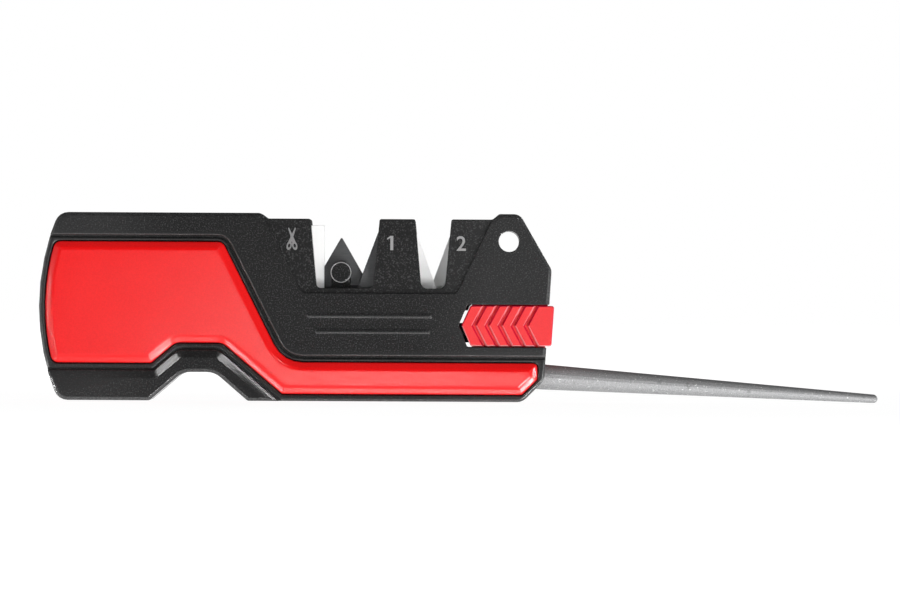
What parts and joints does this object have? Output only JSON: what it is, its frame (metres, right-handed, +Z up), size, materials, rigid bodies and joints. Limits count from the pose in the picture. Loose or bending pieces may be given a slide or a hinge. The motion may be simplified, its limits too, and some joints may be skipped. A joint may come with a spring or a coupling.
{
  "type": "knife sharpener",
  "caption": "Flat pocket knife sharpener with carbide and ceramic slots, a scissors station, a sliding tapered diamond rod and a pull-out fire steel.",
  "frame": {"origin": "middle of the base, under the bounding box of the sharpener with its rod out", "axes": "+X along the housing towards the rod, +Y from the front face to the back, +Z up, the slots open upwards"},
  "size_m": [0.197, 0.0166, 0.044],
  "materials": {
    "black_plastic": "fine spark-textured black moulding",
    "red_plastic": "satin red moulding",
    "red_handle": "smooth red moulding",
    "white_ceramic": "fine matt white ceramic",
    "carbide": "ground dark grey carbide",
    "diamond_grit": "steel coated with grey diamond grit",
    "flint": "dark cast rod",
    "spring_steel": "bare spring steel",
    "screw_steel": "plated steel"
  },
  "bodies": {
    "housing": {"front_shell": "black_plastic", "back_shell": "black_plastic", "front_grip_panel": "red_plastic", "back_grip_panel": "red_plastic", "guide_stone": "white_ceramic", "front_fine_stone": "white_ceramic", "rear_fine_stone": "white_ceramic", "scissor_carbide": "carbide", "coarse_carbide": "carbide", "rod_detent_spring": "spring_steel", "housing_screw_1": "screw_steel", "housing_screw_2": "screw_steel", "housing_screw_3": "screw_steel", "housing_screw_4": "screw_steel", "housing_screw_5": "screw_steel", "housing_screw_6": "screw_steel"},
    "rod": {"diamond_rod": "diamond_grit", "rod_carriage": "black_plastic"},
    "fire_steel": {"fire_steel_handle": "red_handle", "fire_steel_rod": "flint"}
  },
  "joints": [
    {"name": "rod_slide", "type": "slide", "parent": "housing", "child": "rod", "axis": [0.9981, 0, -0.061], "range_m": [-0.0685, 0]},
    {"name": "fire_steel_pull", "type": "slide", "parent": "housing", "child": "fire_steel", "axis": [1, 0, 0], "range_m": [0, 0.06]}
  ]
}
